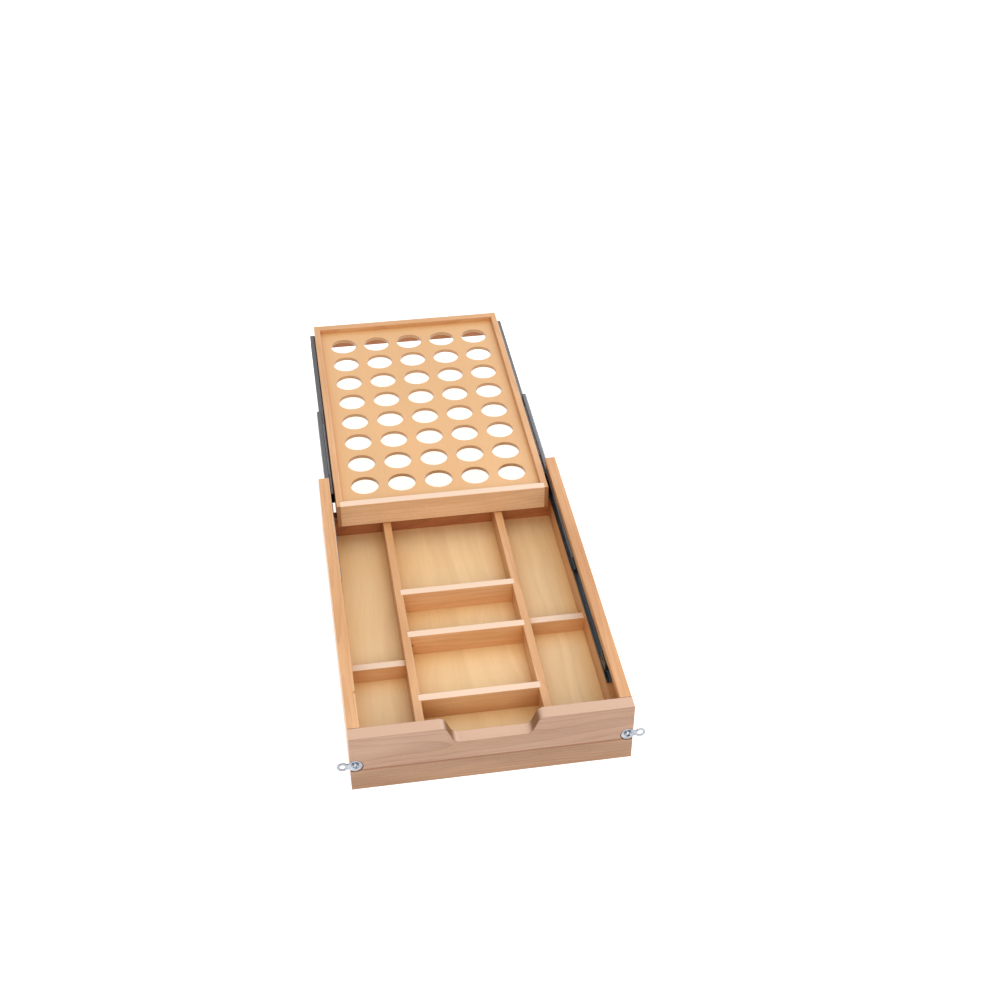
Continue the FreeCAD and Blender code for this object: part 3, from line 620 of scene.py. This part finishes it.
def turned(name, outline, place):
    """Closed body of revolution: (along, radius) points spun round a Y axis through a place."""
    mesh = bmesh.new()
    rings = []
    for step in range(TURN_STEPS):
        angle = 2 * math.pi * step / TURN_STEPS
        spoke = Vector((math.cos(angle), 0, math.sin(angle)))
        points = [Vector((0, along, 0)) + spoke * radius for along, radius in outline]
        rings.append([mesh.verts.new(point) for point in points])
    for step in range(TURN_STEPS):
        here = rings[step]
        there = rings[(step + 1) % TURN_STEPS]
        for index in range(len(outline)):
            following = (index + 1) % len(outline)
            mesh.faces.new((here[index], there[index], there[following], here[following]))
    bmesh.ops.remove_doubles(mesh, verts=mesh.verts, dist=MERGE_DISTANCE)
    bmesh.ops.dissolve_degenerate(mesh, edges=mesh.edges, dist=MERGE_DISTANCE)
    bmesh.ops.recalc_face_normals(mesh, faces=mesh.faces)
    bmesh.ops.translate(mesh, vec=place, verts=mesh.verts)
    return piece_from(name, mesh)


def bar(name, centre, size, spin=0.0):
    """Rectangular bar turned round the Y axis, used to join or to carve other bodies."""
    mesh = bmesh.new()
    bmesh.ops.create_cube(mesh, size=1.0, matrix=Matrix.Diagonal((*size, 1.0)))
    turn = Matrix.Rotation(spin, 4, "Y")
    bmesh.ops.transform(mesh, matrix=Matrix.Translation(centre) @ turn, verts=mesh.verts)
    return piece_from(name, mesh)


def piece_from(name, mesh):
    data = bpy.data.meshes.new(name)
    mesh.to_mesh(data)
    mesh.free()
    piece = bpy.data.objects.new(name, data)
    bpy.context.scene.collection.objects.link(piece)
    return piece


def combine(piece, other, operation):
    """Join or carve a piece with another body, which is used up."""
    modifier = piece.modifiers.new("combine", "BOOLEAN")
    modifier.operation = operation
    modifier.solver = "EXACT"
    modifier.object = other
    bpy.context.view_layer.objects.active = piece
    bpy.ops.object.modifier_apply(modifier=modifier.name)
    bpy.data.objects.remove(other)


def smooth(piece):
    piece.data.shade_smooth()
    bpy.context.view_layer.objects.active = piece
    piece.select_set(True)
    bpy.ops.object.shade_smooth_by_angle(angle=SMOOTH_ANGLE)
    piece.select_set(False)


def arc(middle_radius, start, end, steps=5):
    """Points of a clip plate's rounded edge, as an (along, radius) outline."""
    middle = PLATE_THICK / 2
    size = middle - EDGE_FLAT
    points = []
    for step in range(steps + 1):
        angle = math.radians(start + (end - start) * step / steps)
        points.append((middle - size * math.cos(angle), middle_radius + size * math.sin(angle)))
    return points


def screw(name, place):
    """Domed screw with a cross recess; the head's underside lies at the place."""
    outline = [(-height * HEAD_HEIGHT, radius * HEAD_RADIUS) for height, radius in DOME]
    outline += [
        (0.0, SHANK_RADIUS),
        (SHANK_LENGTH - SHANK_RADIUS, SHANK_RADIUS),
        (SHANK_LENGTH, SHANK_TIP * SHANK_RADIUS),
        (SHANK_LENGTH, 0.0),
    ]
    body = turned(name, outline, place)
    deep = CROSS_DEPTH * HEAD_HEIGHT
    face = place - Vector((0, HEAD_HEIGHT - deep / 2, 0))
    size = (CROSS_LENGTH * HEAD_RADIUS, CROSS_OVERSHOOT * deep, CROSS_WIDTH * HEAD_RADIUS)
    for quarter in range(2):
        combine(body, bar("cutter", face, size, CROSS_SPIN + quarter * math.pi / 2), "DIFFERENCE")
    smooth(body)
    return body


def clip_plate(name, side):
    """Figure-eight clip: a dished ring round the screw and a round-edged eye beside it."""
    flip = Vector((side, 1, 1))
    ring = [
        (PLATE_THICK, CLIP_BORE),
        (DISH_DEPTH, CLIP_BORE),
        (DISH_DEPTH, DISH_FLOOR),
        (DISH_BREAK, DISH_RIM),
        (0.0, RING_FLAT),
    ]
    plate = turned(name, ring + arc(RING_EDGE, 0, 180), CLIP_CENTRE * flip)
    eye = arc(EYE_OUTER, 0, 180) + arc(EYE_INNER, 180, 360)
    combine(plate, turned("loop", eye, EYE_CENTRE * flip), "UNION")
    inner_x = CLIP_CENTRE.x + NECK_START
    outer_x = EYE_CENTRE.x - NECK_END
    centre = Vector(((inner_x + outer_x) / 2, PLATE_FRONT + PLATE_THICK / 2, CLIP_CENTRE.z)) * flip
    size = (outer_x - inner_x, PLATE_THICK - NECK_THINNER, 2 * NECK_HALF)
    combine(plate, bar("neck", centre, size), "UNION")
    smooth(plate)
    return plate


def add_piece(piece, body, node, material):
    piece.data.materials.clear()
    piece.data.materials.append(material)
    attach(piece, body)
    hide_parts(node)


def add_clips_and_screws(bright):
    for name, side in SIDES.items():
        clip = name + "_clip"
        add_piece(clip_plate(clip + "_plate", side), clip, clip, bright)
        place = CLIP_CENTRE * Vector((side, 1, 1)) + Vector((0, DISH_DEPTH - HEAD_SINK, 0))
        add_piece(screw(clip + "_pan_screw", place), "drawer_box", "clip_screws", bright)


# ------------------------------------------------------------------ floor, light, camera

def studio_floor():
    """Pale round floor under the object, with a soft glow of its own."""
    bpy.ops.mesh.primitive_circle_add(vertices=FLOOR_SIDES, radius=FLOOR_RADIUS, fill_type="NGON")
    floor = bpy.context.object
    floor.name = "studio_floor"
    surface = Surface("studio_floor", roughness=FLOOR_ROUGHNESS)
    cloud = surface.noise(surface.place(), FLOOR_CLOUD, detail=1)
    surface.shader.inputs["Emission Color"].default_value = WHITE
    surface.shader.inputs["Emission Strength"].default_value = FLOOR_GLOW
    floor.data.materials.append(surface.finish(surface.mix(cloud, *FLOOR_TONES)))


def soft_box(name, place, size, power):
    data = bpy.data.lights.new(name, "AREA")
    data.shape = "RECTANGLE"
    data.size, data.size_y = size
    data.energy = power
    lamp = bpy.data.objects.new(name, data)
    lamp.location = place
    lamp.rotation_euler = (Vector(LIGHT_AIM) - Vector(place)).to_track_quat("-Z", "Y").to_euler()
    bpy.context.scene.collection.objects.link(lamp)


def studio_light():
    world = bpy.data.worlds.new("studio_air")
    world.use_nodes = True
    background = world.node_tree.nodes["Background"]
    background.inputs["Color"].default_value = WHITE
    background.inputs["Strength"].default_value = WORLD_STRENGTH
    bpy.context.scene.world = world
    for name, (place, size, power) in SOFT_BOXES.items():
        soft_box(name, place, size, power)


def studio_camera():
    level = Vector((math.sin(CAMERA_AZIMUTH), math.cos(CAMERA_AZIMUTH), 0))
    forward = level * math.cos(CAMERA_ELEVATION) - Vector((0, 0, math.sin(CAMERA_ELEVATION)))
    data = bpy.data.cameras.new("camera")
    data.lens = CAMERA_LENS
    data.sensor_fit = "HORIZONTAL"
    data.clip_start = CAMERA_NEAR
    data.clip_end = CAMERA_FAR
    camera = bpy.data.objects.new("camera", data)
    turn = forward.to_track_quat("-Z", "Y").to_matrix() @ Matrix.Rotation(CAMERA_ROLL, 3, "Z")
    camera.matrix_world = Matrix.Translation(CAMERA_AIM - forward * CAMERA_DISTANCE) @ turn.to_4x4()
    bpy.context.scene.collection.objects.link(camera)
    bpy.context.scene.camera = camera


def main():
    scene = bpy.context.scene
    scene.view_settings.view_transform = "Standard"
    finish_boards()
    bright = rolled_zinc("bright_zinc", BRIGHT_ZINC, PLATED_ROUGHNESS, PLATED_STREAK)
    finish_hardware(bright)
    add_clips_and_screws(bright)
    studio_floor()
    studio_light()
    studio_camera()
    bpy.context.view_layer.update()


main()
